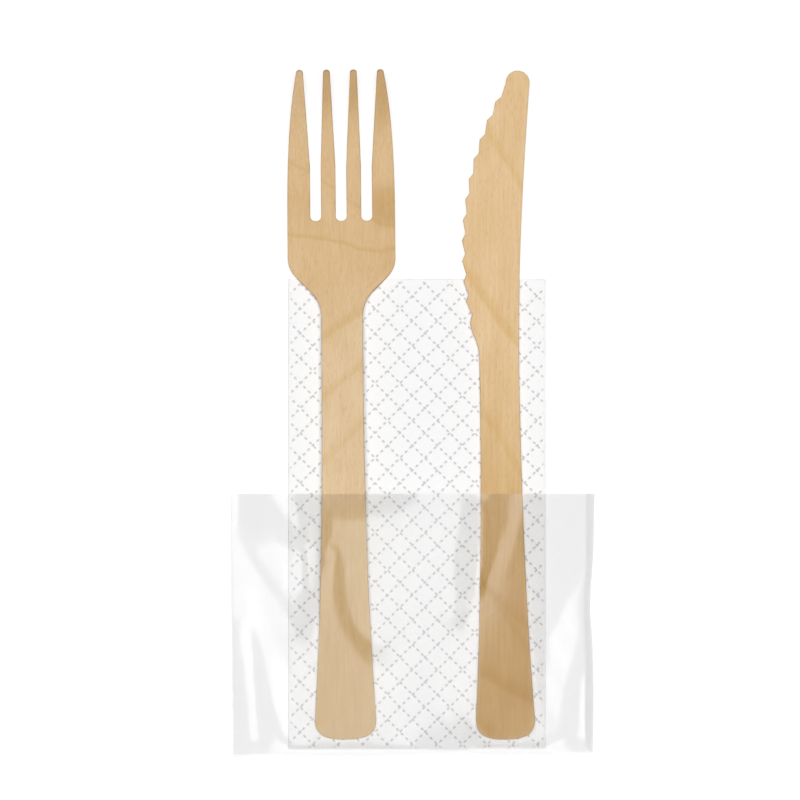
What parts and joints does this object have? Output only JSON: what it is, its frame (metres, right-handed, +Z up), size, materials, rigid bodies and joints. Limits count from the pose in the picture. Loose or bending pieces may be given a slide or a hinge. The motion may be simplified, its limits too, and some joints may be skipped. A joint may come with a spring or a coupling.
{
  "type": "wooden cutlery kit",
  "caption": "Pressed birch fork and toothed birch knife lying on a folded embossed paper napkin, with a clear open-topped film pouch round the handles.",
  "frame": {"origin": "under the middle of the kit's box, on the surface that it lies on", "axes": "+X from the fork to the knife, +Y from the handles to the tips, +Z up"},
  "size_m": [0.09, 0.1697, 0.0099],
  "materials": {
    "fork_birch": "matte",
    "knife_birch": "matte",
    "napkin_paper": "matte",
    "clear_film": "gloss"
  },
  "bodies": {
    "root": {"fork": "fork_birch", "knife": "knife_birch", "napkin": "napkin_paper", "film_pouch": "clear_film"}
  },
  "joints": []
}
